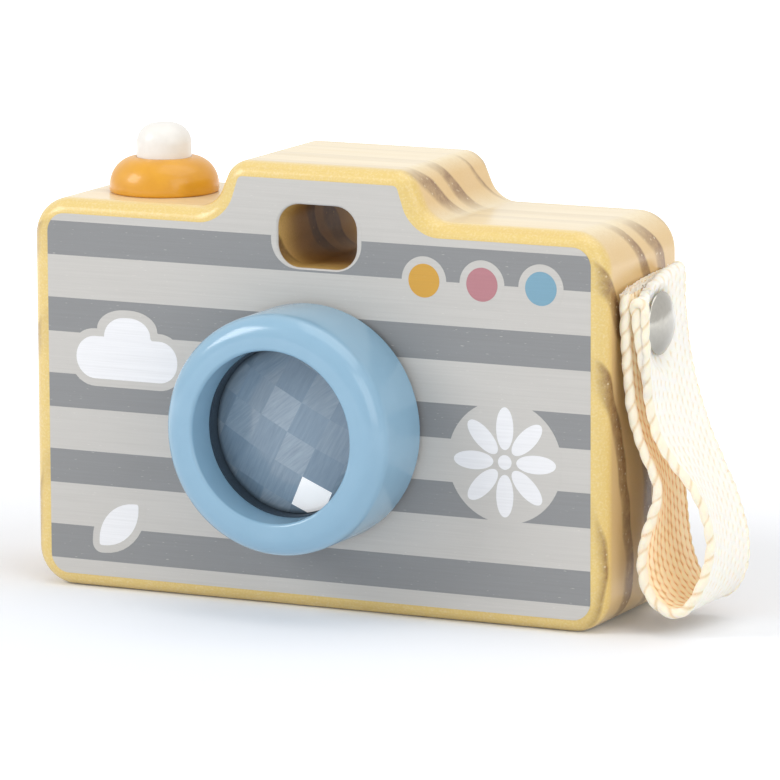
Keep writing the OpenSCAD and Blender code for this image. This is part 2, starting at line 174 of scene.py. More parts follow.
pines = {}
for name, pale, warm, gold, end_tone, brown, line_tone, edge_start, edge_full, coat, shine in (
        ("varnished_pine", "#F9EDCC", "#F1DDAE", "#E4C66E", "#DAB06A", "#6A3E1C", "#D4B074",
         14.6, 17.4, 0.8, 0.15),
        ("bare_pine", "#C69C5C", "#A67E46", "#D8B46C", "#A67E46", "#5C4024", "#8E6A38",
         8.0, 17.0, 0.0, 0.12)):
    pines[name], add, shader, place = start_finish(name, {
        "IOR": 1.5, "Coat Weight": coat, "Coat Roughness": 0.2, "Coat IOR": 1.5, "Specular IOR Level": shine})
    rings_at = add("Mapping", {
        "Vector": place, "Location": (0, -RING_AXIS_Y, -RING_AXIS_Z),
        "Scale": (0, 1 / MM, 1 / MM)})
    radius = add("VectorMath", {0: rings_at}, operation="LENGTH")
    waver = drawn_noise(add, place, (0.012, 0.11, 0.11), 0.6, 0.45)
    wavering = add("Math", {0: waver, 1: RING_WAVER, 2: radius}, operation="MULTIPLY_ADD")
    years = add("MapRange", {
        "Value": wavering, "From Min": RING_SPAN[0] + RING_WAVER / 2,
        "From Max": RING_SPAN[1] + RING_WAVER / 2})
    late = add("ValToRGB", {"Fac": years})
    for start, end in LATE_WOOD:
        for at, share in ((start, 0.0), (start + RING_ONSET, 0.72), (end - RING_CLOSE, 1.0), (end, 0.0)):
            stop = late.color_ramp.elements.new((at - RING_SPAN[0]) / (RING_SPAN[1] - RING_SPAN[0]))
            stop.color = (share, share, share, 1.0)
    late.color_ramp.elements[-1].color = (0.0, 0.0, 0.0, 1.0)
    mottle_at = add("Mapping", {
        "Vector": place, "Scale": (0.25 / MM, 1 / MOTTLE_WIDTH / MM, 1 / MOTTLE_WIDTH / MM)})
    mottle = add("TexNoise", {"Vector": mottle_at, "Scale": 1.0, "Detail": 3.0, "Roughness": 0.6})
    patchy = add("MapRange", {"Value": mottle, "From Min": 0.3, "From Max": 0.6, "To Min": 0.7})
    facing = add("SeparateXYZ", {"Vector": place.node.outputs["Normal"]})
    endwise = add("Math", {0: facing.outputs["X"]}, operation="ABSOLUTE")
    backwards = add("Math", {0: facing.outputs["Y"], 1: 0.42}, operation="MULTIPLY")
    opened = add("Math", {0: endwise, 1: backwards}, operation="MAXIMUM")
    end_grain = add("MapRange", {
        "Value": opened, "From Min": 0.3, "From Max": 0.9, "To Min": 0.14, "To Max": 0.9})
    late_share = late
    for part in (patchy, end_grain):
        late_share = add("Math", {0: late_share, 1: part}, operation="MULTIPLY")

    fibres = drawn_noise(add, place, (0.03, 1 / FIBRE_WIDTH, 1 / FIBRE_WIDTH), 4.0, 0.6)
    clouds = drawn_noise(add, place, (0.015, 0.12, 0.12), 2.0)
    spot = add("SeparateXYZ", {"Vector": place})
    edge = add("MapRange", {
        "Value": spot.outputs["Y"], "From Min": -edge_start * MM, "From Max": -edge_full * MM,
        "To Max": 0.85}, interpolation_type="SMOOTHSTEP")
    end_share = add("Math", {0: end_grain, 1: 0.8}, operation="MULTIPLY")
    speckle = add("TexNoise", {"Vector": place, "Scale": 1 / SPECKLE_WIDTH / MM})
    pores = add("MapRange", {"Value": speckle, "From Min": 0.45, "From Max": 0.75, "To Max": 0.3})
    sanded = add("Mix", {0: pores, MIX_A: gold, MIX_B: pale})
    lines = add("MapRange", {"Value": fibres, "From Min": 0.35, "From Max": 0.75, "To Max": 0.3})
    ducts = add("TexVoronoi", {"Vector": mottle_at, "Scale": 1.1})
    dots = add("MapRange", {"Value": ducts, "From Min": 0.1, "From Max": 0.2, "To Min": 0.7, "To Max": 0.0})
    dot_share = add("Math", {0: dots, 1: late_share}, operation="MULTIPLY")
    wood = add("Mix", {0: clouds, MIX_A: pale, MIX_B: warm})
    for share, tone in ((end_share, end_tone), (edge, sanded), (late_share, brown), (lines, line_tone),
                        (dot_share, pale)):
        wood = add("Mix", {0: share, MIX_A: wood, MIX_B: tone})
    sheen = add("MapRange", {"Value": fibres, "To Min": 0.38, "To Max": 0.56})
    wear(shader, wood, sheen, fibres, 0.25, 0.06)
    print(name, "with", len(LATE_WOOD), "rings")

# %% [markdown]
# ## Screen-printed paint
# The front is printed in flat inks over sanded pine. The ink is thin, so the grain still stands up
# through it as fine level lines, and here and there a raised fibre stays bare: a pale fleck that is
# partly the bare wood and partly a painted highlight where the fibre catches the light. The same
# nodes serve every ink, and only the colour and the share of flecks change.

# %% Inks
GRAIN_LINE = 0.45

inks = {}
for ink, code, bare_glint_share in (
        ("ink_light_grey", "#CBC8C3", 0.3), ("ink_dark_grey", "#8E8F90", 0.3), ("ink_white", "#F2F2F4", 0.1),
        ("ink_yellow", "#D3A03F", 0.05), ("ink_pink", "#B97F86", 0.05), ("ink_blue", "#7CA6BB", 0.05)):
    inks[ink], add, shader, place = start_finish(ink, {"IOR": 1.48})
    grain = drawn_noise(add, place, (0.04, 0, 1 / GRAIN_LINE), 5.0, 0.65)
    bare = drawn_noise(add, place, (0.7, 0, 4.0), 1.0)
    streaks = add("MapRange", {"Value": grain, "From Min": 0.35, "From Max": 0.7, "To Max": 0.09})
    streaked = add("Mix", {0: streaks, MIX_A: code, MIX_B: "#5E5850"})
    # Pale flecks: partly bare fibres, partly a painted highlight where they catch the light.
    glint_flecks = add("MapRange", {"Value": bare, "From Min": 0.7, "From Max": 0.78, "To Max": bare_glint_share})
    flecked = add("Mix", {0: glint_flecks, MIX_A: streaked, MIX_B: "#F4F0E8"})
    dull = add("MapRange", {"Value": grain, "To Min": 0.4, "To Max": 0.6})
    wear(shader, flecked, dull, grain, 0.25, 0.05)
print("inks:", ", ".join(inks))

# %% [markdown]
# ## Sprayed and dipped paint
# The ring, the collar and the button are turned wood under two coats of satin paint. Sprayed
# paint dries with a faint ripple, which bends the reflections a little, and dipped paint runs
# slightly thicker in places. A ripple of a few millimetres in the bump and a soft change of tone
# give both.

# %% Paints
paints = {}
for name, light, deep, ripple, gloss in (
        ("ring_satin_blue", "#90B6CE", "#88AFC8", 6.0, 0.2),
        ("collar_satin_orange", "#E6A61E", "#D79518", 3.5, 0.38),
        ("button_satin_white", "#F2EFEA", "#E9E5DD", 2.5, 0.4)):
    paints[name], add, shader, place = start_finish(name, {
        "IOR": 1.5, "Coat Weight": 0.3, "Coat Roughness": 0.1})
    ripples = add("TexNoise", {"Vector": place, "Scale": 1 / ripple / MM})
    tone = add("Mix", {0: ripples, MIX_A: light, MIX_B: deep})
    grit = add("TexNoise", {"Vector": place, "Scale": 1.5 / MM, "Detail": 3.0})
    satin = add("MapRange", {"Value": grit, "To Min": gloss - 0.02, "To Max": gloss + 0.03})
    wear(shader, tone, satin, ripples, 0.25, 0.12)
print("paints:", ", ".join(paints))

# %% [markdown]
# ## Acrylic, rubber, plastic, steel and nickel
# The lens is clear acrylic, moulded with flat facets, and it has gone a little dull with fine
# scratches. Behind it the hollow is dim and blue-grey. The lens's blue-grey colour and a tone of its
# own on each facet are a painted view of that hollow, as each facet would show it from another side,
# and one facet near the rim gets a painted glint, a white colour and a faint glow, for the white of
# the room that it throws straight back. Towards its rim the lens is painted darker, a painted shade
# for the shadowed gap and the dark gasket seen through it. The painted tones are stored on the mesh,
# facet by facet, when the lens is cut. The scratches are drawn coarser than real ones, which would be
# too fine to see. The gasket is dark rubber whose colour is a painted shade for that gap, the bearing
# moulded plastic, and the small metal parts bright steel and nickel plate.

# %% Lens
LENS_Z, DOME_R = 39.0, 17.15

lens_clear, add, shader, place = start_finish("facet_cut_acrylic", {
    "IOR": 1.49, "Transmission Weight": 0.3, "Coat Weight": 0.3, "Coat Roughness": 0.03})
# Each facet's stored tone is painted light: a painted view of the dim hollow behind it, and on one facet a
# painted glint.
facet_painted_light = add("Attribute", attribute_name="facet_painted_light").outputs["Fac"]
SCRATCH_LENGTH, SCRATCH_WIDTH = 6.0, 0.55
streaks = []
for lean in (-62, -38):
    scratches_at = add("Mapping", {
        "Vector": place, "Rotation": (0, math.radians(lean), 0),
        "Scale": (SCRATCH_LENGTH * MM, SCRATCH_LENGTH * MM, SCRATCH_WIDTH * MM)}, vector_type="TEXTURE")
    streaks.append(add("TexNoise", {
        "Vector": scratches_at, "Scale": 1.0, "Detail": 5.0, "Roughness": 0.68, "Distortion": 0.5}))
pick = add("Math", {0: facet_painted_light, 1: 0.45}, operation="GREATER_THAN")
scratches = add("Mix", {0: pick, 2: streaks[0], 3: streaks[1]}, data_type="FLOAT")
worn = add("MapRange", {"Value": scratches, "From Min": 0.35, "From Max": 0.7, "To Max": 0.45})
# The glint facet is a painted highlight: a white colour and a faint glow.
lit = add("MapRange", {"Value": facet_painted_light, "From Min": 1.1, "From Max": 1.9})
glint = add("Math", {0: lit, 1: 0.4}, operation="MULTIPLY")
link(glint, shader.inputs["Emission Strength"])
# Towards the rim the colour turns to a painted shade, for the shadowed gap and the gasket seen through the
# lens.
from_axis_at = add("Mapping", {"Vector": place, "Location": (0, 0, -LENS_Z), "Scale": (1 / MM, 0, 1 / MM)})
from_axis = add("VectorMath", {0: from_axis_at}, operation="LENGTH")
painted_rim_shade = add("MapRange", {
    "Value": from_axis, "From Min": DOME_R - 1.1, "From Max": DOME_R, "To Max": 0.6},
    interpolation_type="SMOOTHSTEP")
# The two blue-grey colours are a painted view of the hollow behind the lens.
acrylic = add("Mix", {0: facet_painted_light, MIX_A: "#98B0C4", MIX_B: "#BCCDDB"})
for share, tone in ((worn, "#768EA4"), (lit, "#FFFFFF"), (painted_rim_shade, "#2C3A46")):
    acrylic = add("Mix", {0: share, MIX_A: acrylic, MIX_B: tone})
link(acrylic, shader.inputs["Base Color"])
haze = add("MapRange", {"Value": scratches, "To Min": 0.06, "To Max": 0.25})
link(haze, shader.inputs["Roughness"])
print(lens_clear.name)

# %% Small hidden and metal parts
fittings = {}
for name, light, deep, speck, low, high, metal in (
        # The gasket's dark colours are a painted shade for the shadowed gap before the lens.
        ("dark_rubber_painted_shade", "#3C4C5A", "#2C3A46", 0.5, 0.7, 0.9, 0.0),
        ("moulded_blue_grey_plastic", "#6C7F90", "#627484", 1.2, 0.35, 0.5, 0.0),
        ("drawn_steel_wire", "#C9CACB", "#B4B5B6", 0.6, 0.2, 0.35, 1.0),
        ("satin_nickel_plate", "#B8B5AD", "#A8A59D", 0.9, 0.14, 0.24, 1.0)):
    fittings[name], add, shader, place = start_finish(name, {"Metallic": metal})
    specks = add("TexNoise", {"Vector": place, "Scale": 1 / speck / MM, "Detail": 3.0, "Roughness": 0.6})
    tone = add("Mix", {0: specks, MIX_A: light, MIX_B: deep})
    texture = add("MapRange", {"Value": specks, "To Min": low, "To Max": high})
    wear(shader, tone, texture, specks, 0.15, 0.03)
print("fittings:", ", ".join(fittings))

# %% [markdown]
# ## Cotton webbing
# The strap is undyed cotton, woven thick. The yarns are modelled in the mesh, and the material
# adds what is finer: the hairs of the yarn in the bump, a soft sheen, and a painted shade, a warmer,
# darker tone deep between the yarns and on the loop's inner face, where the loop shades itself. Cotton
# lets some light through: a little of it scatters under the surface, and a painted glow on the inner
# face stands for what comes out there. How deep a point lies, and on which face, is stored on the
# mesh when the yarns are made. The cords along the edges take a painted shade between the two faces.

# %% Webbing
YARN_HAIR = 0.18

webbing, add, shader, place = start_finish("woven_undyed_cotton", {
    "Sheen Weight": 0.25, "Sheen Roughness": 0.5, "IOR": 1.45, "Subsurface Weight": 0.45,
    "Subsurface Radius": (1.0, 0.72, 0.42), "Subsurface Scale": 1.6 * MM})
hairs = add("TexNoise", {"Vector": place, "Scale": 1 / YARN_HAIR / MM, "Detail": 4.0, "Roughness": 0.7})
# The stored depth drives a painted shade deep between the yarns.
depth = add("Attribute", attribute_name="weave_depth").outputs["Fac"]
valley_painted_shade = add("MapRange", {"Value": depth, "From Min": 0.25, "From Max": 0.65})
# On the inner face the yarn and its shade are warmer and darker, a painted shade of the loop's inside.
inner = add("Attribute", attribute_name="inner_face").outputs["Fac"]
yarn = add("Mix", {0: inner, MIX_A: "#FFFBF1", MIX_B: "#FBE9C8"})
shade = add("Mix", {0: inner, MIX_A: "#F3E1BE", MIX_B: "#D6AE74"})
cotton = add("Mix", {0: valley_painted_shade, MIX_A: yarn, MIX_B: shade})
fluff = add("MapRange", {"Value": hairs, "From Min": 0.35, "From Max": 0.8, "To Max": 0.25})
fluffy = add("Mix", {0: fluff, MIX_A: cotton, MIX_B: "#F4E6CC"})
link(fluffy, shader.inputs["Emission Color"])
# A painted glow on the inner face, for light that comes through the cloth.
painted_inner_glow = add("MapRange", {"Value": inner, "From Min": 0.5, "To Max": 0.15})
link(painted_inner_glow, shader.inputs["Emission Strength"])
nap = add("MapRange", {"Value": hairs, "To Min": 0.8})
wear(shader, fluffy, nap, hairs, 0.5, 0.1)
print(webbing.name)

# %% [markdown]
# ## Tools for the pieces
# Almost everything here starts as a flat face with rounded corners: the block's outline, the
# prints, and the half sections that a lathe would turn. One function draws such a face with a
# vertex bevel at each corner. Others pull faces into plates, close a mesh, turn a section about an
# axis, make a mesh an object, cut one object with others, and seat a piece on its CAD body.

# %% Piece helpers
CORNER_STEPS = 10
TURN_STEPS = 144
SHARP_ANGLE = math.radians(32)


def rounded_face(corners, place):
    """A new bmesh with one flat face through corners (a, b, radius), each put in space by place."""
    bm = bmesh.new()
    points = [Vector(place(a, b)) for a, b, _ in corners]
    verts = [bm.verts.new(p) for p in points]
    bm.faces.new(verts)
    for i, (_, _, radius) in enumerate(corners):
        if radius:
            after = points[(i + 1) % len(points)]
            turn = (points[i] - points[i - 1]).angle(after - points[i])
            bmesh.ops.bevel(bm, geom=[verts[i]], offset=radius * math.tan(turn / 2), offset_type="OFFSET",
                            affect="VERTICES", segments=CORNER_STEPS, profile=0.5, material=-1,
                            clamp_overlap=False)
    return bm


def drawn_out(bm, faces, depth):
    """Pulls flat faces out along Y into closed plates."""
    grown = bmesh.ops.extrude_face_region(bm, geom=faces)
    bmesh.ops.translate(bm, vec=(0, depth, 0),
                        verts=[v for v in grown["geom"] if isinstance(v, bmesh.types.BMVert)])


def close_holes(bm):
    """Fills every open rim with a face."""
    bmesh.ops.holes_fill(bm, edges=[e for e in bm.edges if e.is_boundary])


def turned(corners, place, centre, axis):
    """Turns a half section of corners (radius, height, round) about an axis, as a lathe does."""
    bm = rounded_face(corners, place)
    bmesh.ops.delete(bm, geom=bm.faces[:], context="FACES_ONLY")
    centre, axis = Vector(centre), Vector(axis)
    on_axis = [e for e in bm.edges
               if all((v.co - centre).cross(axis).length < 1e-6 for v in e.verts)]
    bmesh.ops.delete(bm, geom=on_axis, context="EDGES")
    bmesh.ops.spin(bm, geom=bm.verts[:] + bm.edges[:], cent=centre, axis=axis, angle=2 * math.pi,
                   steps=TURN_STEPS, use_merge=True)
    bmesh.ops.remove_doubles(bm, verts=bm.verts, dist=1e-5)
    return bm


def to_object(bm, name):
    """Makes a bmesh in millimetres an object in metres, with crisp edges where faces meet sharply."""
    bmesh.ops.scale(bm, vec=(MM, MM, MM), verts=bm.verts)
    bmesh.ops.recalc_face_normals(bm, faces=bm.faces)
    for face in bm.faces:
        face.smooth = True
    for edge_line in bm.edges:
        edge_line.smooth = edge_line.calc_face_angle(0) < SHARP_ANGLE
    mesh = bpy.data.meshes.new(name)
    bm.to_mesh(mesh)
    bm.free()
    made = bpy.data.objects.new(name, mesh)
    scene.collection.objects.link(made)
    return made


def combine(made, tools, operation):
    """Cuts an object with others, or joins them to it, and keeps the result as its mesh."""
    for tool in tools:
        step = made.modifiers.new(operation.lower(), "BOOLEAN")
        step.object, step.operation, step.solver = tool, operation, "EXACT"
    result = bpy.data.meshes.new_from_object(made.evaluated_get(bpy.context.evaluated_depsgraph_get()))
    result.set_sharp_from_angle(angle=SHARP_ANGLE)
    made.modifiers.clear()
    made.data = result


def seat(made, body, finishes, replaces=()):
    """Gives a piece its finishes, its CAD body and the nodes that it stands for."""
    if not made.data.materials:
        for finish in finishes:
            made.data.materials.append(finish)
    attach(made, body)
    if replaces:
        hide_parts(*replaces)
    print(made.name, "faces:", len(made.data.polygons), "on", body)
    return made


print("helpers ready")

# %% [markdown]
# ## The block
# The maker saws the outline with its raised crown from a thick board, drills the holes, and
# rounds every long edge over with a router. The mesh follows the same order: the outline is a
# face with rounded corners, pulled back to the depth of the board and bevelled along its front and
# back rims, and the holes are cut by boolean tools. Last, the rims of the viewfinder and the
# sight hole get the small round that sandpaper leaves.

# %% Block
BLOCK_FRONT, BLOCK_DEPTH = -19.0, 38.0
EDGE_ROUND = 3.5
RIM_ROUND = 0.35
BLOCK_OUTLINE = [(-65, 0, 8), (65, 0, 8), (65, 81.6, 8), (25.587, 81.6, 6),
                 (21.3, 91.7, 5), (-18.9, 91.7, 5), (-23.187, 81.6, 6), (-65, 81.6, 8)]
FINDER = (1.2, 77.2, 17.8, 13.0, 4.8)
BUTTON_X, SHOULDER_Z = -43.508, 81.6
TACK_Y, TACK_Z = -3.5, 61.9
BLOCK_BACK, THROUGH, WELL_FOOT = BLOCK_FRONT + BLOCK_DEPTH, 30, 58.65
BORES = [(19.68, 18.4, (0, -24, LENS_Z), (0, 1, 0)), (9.0, 40.0, (0, -10, LENS_Z), (0, 1, 0)),
         (8.05, 32.0, (BUTTON_X, 0, WELL_FOOT), (0, 0, 1)), (1.55, 20.0, (51.6, TACK_Y, TACK_Z), (1, 0, 0))]
HOLES = [(BLOCK_FRONT, FINDER[:2], 12), (BLOCK_BACK, FINDER[:2], 12), (BLOCK_BACK, (0, LENS_Z), 10)]
FINDER_REACH, SOCKET_REACH, INSIDE_Y, RIM_INK = (11.5, 8.5), 20, 18.5, 2


def plate_corners(x, z, width, height, radius, grow=0.0):
    """Corners of a level rounded plate about a middle point, grown all round."""
    w, h, r = width / 2 + grow, height / 2 + grow, radius + grow
    return [(x - w, z - h, r), (x + w, z - h, r), (x + w, z + h, r), (x - w, z + h, r)]


def pulled(corners, start, end):
    """A plate of that outline, from one depth to another."""
    bm = rounded_face(corners, lambda x, z: (x, start, z))
    drawn_out(bm, bm.faces[:], end - start)
    return bm


def drill(radius, length, start, direction):
    """A round cutting tool from a start point along a direction."""
    bm = bmesh.new()
    way = Vector(direction).to_track_quat("Z", "Y").to_matrix().to_4x4()
    middle = Vector(start) + Vector(direction) * length / 2
    bmesh.ops.create_cone(bm, cap_ends=True, segments=TURN_STEPS, radius1=radius, radius2=radius,
                          depth=length, matrix=Matrix.Translation(middle) @ way)
    return to_object(bm, "tool")


def round_edges(bm, edges, radius, segments):
    """Rounds the edges over with a bevel."""
    bmesh.ops.bevel(bm, geom=edges, offset=radius, offset_type="OFFSET", affect="EDGES",
                    segments=segments, profile=0.5, material=-1, clamp_overlap=False)


bm = pulled(BLOCK_OUTLINE, BLOCK_FRONT, BLOCK_BACK)
rims = [e for e in bm.edges if abs(e.verts[0].co.y - e.verts[1].co.y) < 1e-6]
round_edges(bm, rims, EDGE_ROUND, 10)
block = to_object(bm, "pine_block")
tools = [to_object(pulled(plate_corners(*FINDER), -THROUGH, THROUGH), "tool")]
tools += [drill(*bore) for bore in BORES]
combine(block, tools, "DIFFERENCE")

bm = bmesh.new()
bm.from_mesh(block.data)
bmesh.ops.scale(bm, vec=(1 / MM,) * 3, verts=bm.verts)


def on_face(edge_line, y, centre, reach):
    """True for an edge that lies in a face of the block, near a hole's centre."""
    return all(abs(v.co.y - y) < 1e-3 and math.hypot(v.co.x - centre[0], v.co.z - centre[1]) < reach
               for v in edge_line.verts) and edge_line.calc_face_angle(0) > SHARP_ANGLE


hole_rims = [e for e in bm.edges if any(on_face(e, *hole) for hole in HOLES)]
round_edges(bm, hole_rims, RIM_ROUND, 4)
bpy.data.objects.remove(block)
for face in bm.faces:
    middle = face.calc_center_median()
    in_finder = math.hypot((middle.x - FINDER[0]) / FINDER_REACH[0],
                           (middle.z - FINDER[1]) / FINDER_REACH[1]) < 1
    in_lens = math.hypot(middle.x, middle.z - LENS_Z) < SOCKET_REACH
    inside = (in_finder or in_lens) and abs(middle.y) < INSIDE_Y
    face.material_index = int(inside and abs(face.normal.y) < 0.2)
    if in_finder and middle.y < -INSIDE_Y and face.normal.y > -0.99:
        face.material_index = RIM_INK
block = seat(to_object(bm, "pine_block"), "block", [*pines.values(), inks["ink_light_grey"]],
             ["body_block"])
flat = block.modifiers.new("flat faces stay flat", "WEIGHTED_NORMAL")
flat.keep_sharp = True
print("hole rims rounded:", len(hole_rims))

# %% [markdown]
# ## The printed front
# The print is a stack of thin ink films: a light grey field, dark stripes across it, light halos
# where something stands on a stripe, and the white and coloured marks on top. It could all be
# painted by the block's material, but a film of real thickness keeps its edges crisp at any
# distance. The field is one face, sliced by level cuts, and its slices take the two greys in turn.

# %% Striped field
FILM = 0.02
FIELD_OUTLINE = [(-61.0, 2.9, 4), (61.8, 2.9, 4), (61.8, 78.6, 4), (22.3, 78.6, 8.2),
                 (19.0, 88.7, 1.2), (-16.6, 88.7, 1.2), (-19.9, 78.6, 8.2), (-61.0, 78.6, 4)]
STRIPES = [(6.03, 13.18), (21.97, 29.08), (37.94, 45.07), (53.85, 61.0), (69.9, 77.01)]
FIELD_Y = BLOCK_FRONT - FILM
RING_GAP = (23.25, 20.0, (0, -24, LENS_Z), (0, 1, 0))

bm = rounded_face(FIELD_OUTLINE, lambda x, z: (x, BLOCK_FRONT + 2 * FILM, z))
for level_z in (z for stripe in STRIPES for z in stripe):
    bmesh.ops.bisect_plane(bm, geom=bm.verts[:] + bm.edges[:] + bm.faces[:],
                           plane_co=(0, 0, level_z), plane_no=(0, 0, 1))
drawn_out(bm, bm.faces[:], -3 * FILM)
for face in bm.faces:
    middle_z = face.calc_center_median().z
    face.material_index = int(any(low < middle_z < high for low, high in STRIPES))
field = to_object(bm, "striped_print")
rim_tool = to_object(pulled(plate_corners(*FINDER, grow=RIM_ROUND), -THROUGH, THROUGH), "tool")
socket_tool = drill(*RING_GAP)
for ink in ("ink_light_grey", "ink_dark_grey"):
    field.data.materials.append(inks[ink])
combine(field, [rim_tool, socket_tool], "DIFFERENCE")
seat(field, "block", [])

# %% Halos, dots and marks
HALO_Y, MARK_Y = FIELD_Y - FILM, FIELD_Y - 2 * FILM
DOT_Z, DOT_R, DOT_HALO_R = 69.84, 3.45, 4.95
FINDER_HALO = (1.0, 77.6, 20.4, 14.4, 5.8)
DOTS = [("yellow", 25.15), ("pink", 38.0), ("blue", 50.96)]


def disc(bm, x, z, radius, start, end, stretch=1.0, turn=0.0, push=0.0):
    """A flat round of ink, which can be stretched, pushed out from its middle and turned."""
    way = (Matrix.Translation((x, start, z)) @ Matrix.Rotation(turn, 4, "Y")
           @ Matrix.Translation((0, 0, push)) @ Matrix.Diagonal((1, 1, stretch, 1))
           @ Matrix.Rotation(math.pi / 2, 4, "X"))
    made = bmesh.ops.create_circle(bm, cap_ends=True, segments=64, radius=radius, matrix=way)
    drawn_out(bm, list({f for v in made["verts"] for f in v.link_faces}), end - start)


def printed(bm, name, ink):
    """Makes a film of ink a piece on the block."""
    seat(to_object(bm, name), "block", [inks["ink_" + ink]])


finder_halo = to_object(pulled(plate_corners(*FINDER_HALO), FIELD_Y, HALO_Y), "finder_halo")
combine(finder_halo, [rim_tool], "DIFFERENCE")
seat(finder_halo, "block", [inks["ink_light_grey"]])
bm = bmesh.new()
for _, x in DOTS:
    disc(bm, x, DOT_Z, DOT_HALO_R, FIELD_Y, HALO_Y)
printed(bm, "dot_halos", "light_grey")
for colour, x in DOTS:
    bm = bmesh.new()
    disc(bm, x, DOT_Z, DOT_R, HALO_Y, MARK_Y)
    printed(bm, f"{colour}_dot", colour)

# %% [markdown]
# The marks are plain ones that any toy maker might draw: a daisy, a cloud and a leaf, in white
# with a light halo. A daisy is a ring of stretched rounds, and the cloud and the leaf are faces
# whose corners are rounded as the block's are.

# %% Daisy, cloud and leaf
DAISY, DAISY_HALO_R, HEART_R, HALO_WIDTH = (43.0, 34.0), 12.6, 1.5, 1.6
PETALS, PETAL_R, PETAL_STRETCH, PETAL_PUSH = 8, 1.9, 2.3, 6.9
CLOUD, LEAF = (-43.0, 50.0), (-45.0, 14.0)
CLOUD_OUTLINE = [(-11.5, -5.5, 4.4), (12, -5.5, 4.2), (12, 3.2, 4.2), (5.8, 3.2, 0.6),
                 (5.8, 7.6, 4.8), (-5.0, 7.6, 4.8), (-5.0, 3.4, 0.6), (-11.5, 3.4, 4.4)]
LEAF_OUTLINE = [(-4.6, -4.6, 0.5), (4.6, -4.6, 8.0), (4.6, 4.6, 0.5), (-4.6, 4.6, 8.0)]


def grown_corners(corners, centre, amount):
    """Corners about a centre, moved out by an amount, and their rounds with them."""
    points = [Vector((a, b)) for a, b, _ in corners]
    made = []
    for i, (_, _, radius) in enumerate(corners):
        into = (points[i] - points[i - 1]).normalized()
        out = (points[(i + 1) % len(points)] - points[i]).normalized()
        bend = into.cross(out)
        side = Vector((into.y, -into.x)) + Vector((out.y, -out.x))
        spread = points[i] + side * amount / (1 + into.dot(out))
        made.append((centre[0] + spread.x, centre[1] + spread.y,
                     max(radius + math.copysign(amount, bend), 0.3)))
    return made


bm = bmesh.new()
disc(bm, *DAISY, DAISY_HALO_R, FIELD_Y, HALO_Y)
printed(bm, "daisy_halo", "light_grey")
bm = bmesh.new()
for k in range(PETALS):
    disc(bm, *DAISY, PETAL_R, HALO_Y, MARK_Y, PETAL_STRETCH, 2 * math.pi * k / PETALS, PETAL_PUSH)
disc(bm, *DAISY, HEART_R, HALO_Y, MARK_Y)
printed(bm, "daisy_petals", "white")
for name, outline, centre in (("cloud", CLOUD_OUTLINE, CLOUD), ("leaf", LEAF_OUTLINE, LEAF)):
    halo = pulled(grown_corners(outline, centre, HALO_WIDTH), FIELD_Y, HALO_Y)
    printed(halo, f"{name}_halo", "light_grey")
    printed(pulled(grown_corners(outline, centre, 0), HALO_Y, MARK_Y), name, "white")
for tool in tools + [rim_tool, socket_tool]:
    bpy.data.objects.remove(tool)

# %% [markdown]
# ## The lens ring
# The ring is turned from beech: a thick tube with a wide round along its outer front edge and a
# small one at its bore. Spinning a half section is exactly what a lathe does, so the section is
# drawn with its rounds and swept once about the lens axis.

# %% Lens ring
RING_BACK, RING_FRONT = -20.0, -38.8
RING_R, BORE_R, SEAT_R, SEAT_Y = 24.75, 17.65, 19.0, -30.9
RING_SECTION = [(SEAT_R, RING_BACK, 0), (RING_R, RING_BACK, 0.4), (RING_R, RING_FRONT, 4.5),
                (BORE_R, RING_FRONT, 0.8), (BORE_R, SEAT_Y, 0), (SEAT_R, SEAT_Y, 0)]


def lens_section(radius, y):
    """Puts a half section of the lens stack in space."""
    return (radius, y, LENS_Z)


bm = turned(RING_SECTION, lens_section, (0, 0, LENS_Z), (0, 1, 0))
seat(to_object(bm, "painted_ring"), "lens", [paints["ring_satin_blue"]], ["lens_ring"])

# %% [markdown]
# ## The faceted lens
# The lens shows a child the same thing many times over, because each flat facet bends the view
# another way. It is made as a gem is cut: a round blank loses a slice for each facet, where a
# plane touches a shallow bowl. Each slice is one bisect of the mesh, and its wound is closed again.

# %% Faceted lens
LENS_TOP_Y, GIRDLE_R, GIRDLE_T = -27.7, 18.95, 3.0
DOME_RISE, DOME_CURVE = 2.804, 58.82
FACET_PITCH, FACET_TURN, FACETS = 6.8, math.radians(-27), 6
GLINT = (1.5 * FACET_PITCH, -1.5 * FACET_PITCH)
GLINT_TONE, CHECK_TONE, CHANCE_TONE = 2.0, 0.25, 0.65
BLANK_T, BLANK_MIDDLE = 8, 2.5

bm = bmesh.new()
bmesh.ops.create_cone(bm, cap_ends=True, segments=TURN_STEPS, radius1=DOME_R, radius2=DOME_R,
                      depth=BLANK_T, matrix=Matrix.Translation((0, 0, BLANK_MIDDLE)))
for i in range(FACETS):
    for j in range(FACETS):
        a, b = ((k - (FACETS - 1) / 2) * FACET_PITCH for k in (i, j))
        touch = Vector((a, b, DOME_RISE - (a * a + b * b) / (2 * DOME_CURVE)))
        normal = Vector((a / DOME_CURVE, b / DOME_CURVE, 1))
        bmesh.ops.bisect_plane(bm, geom=bm.verts[:] + bm.edges[:] + bm.faces[:], plane_co=touch,
                               plane_no=normal, clear_outer=True)
        close_holes(bm)
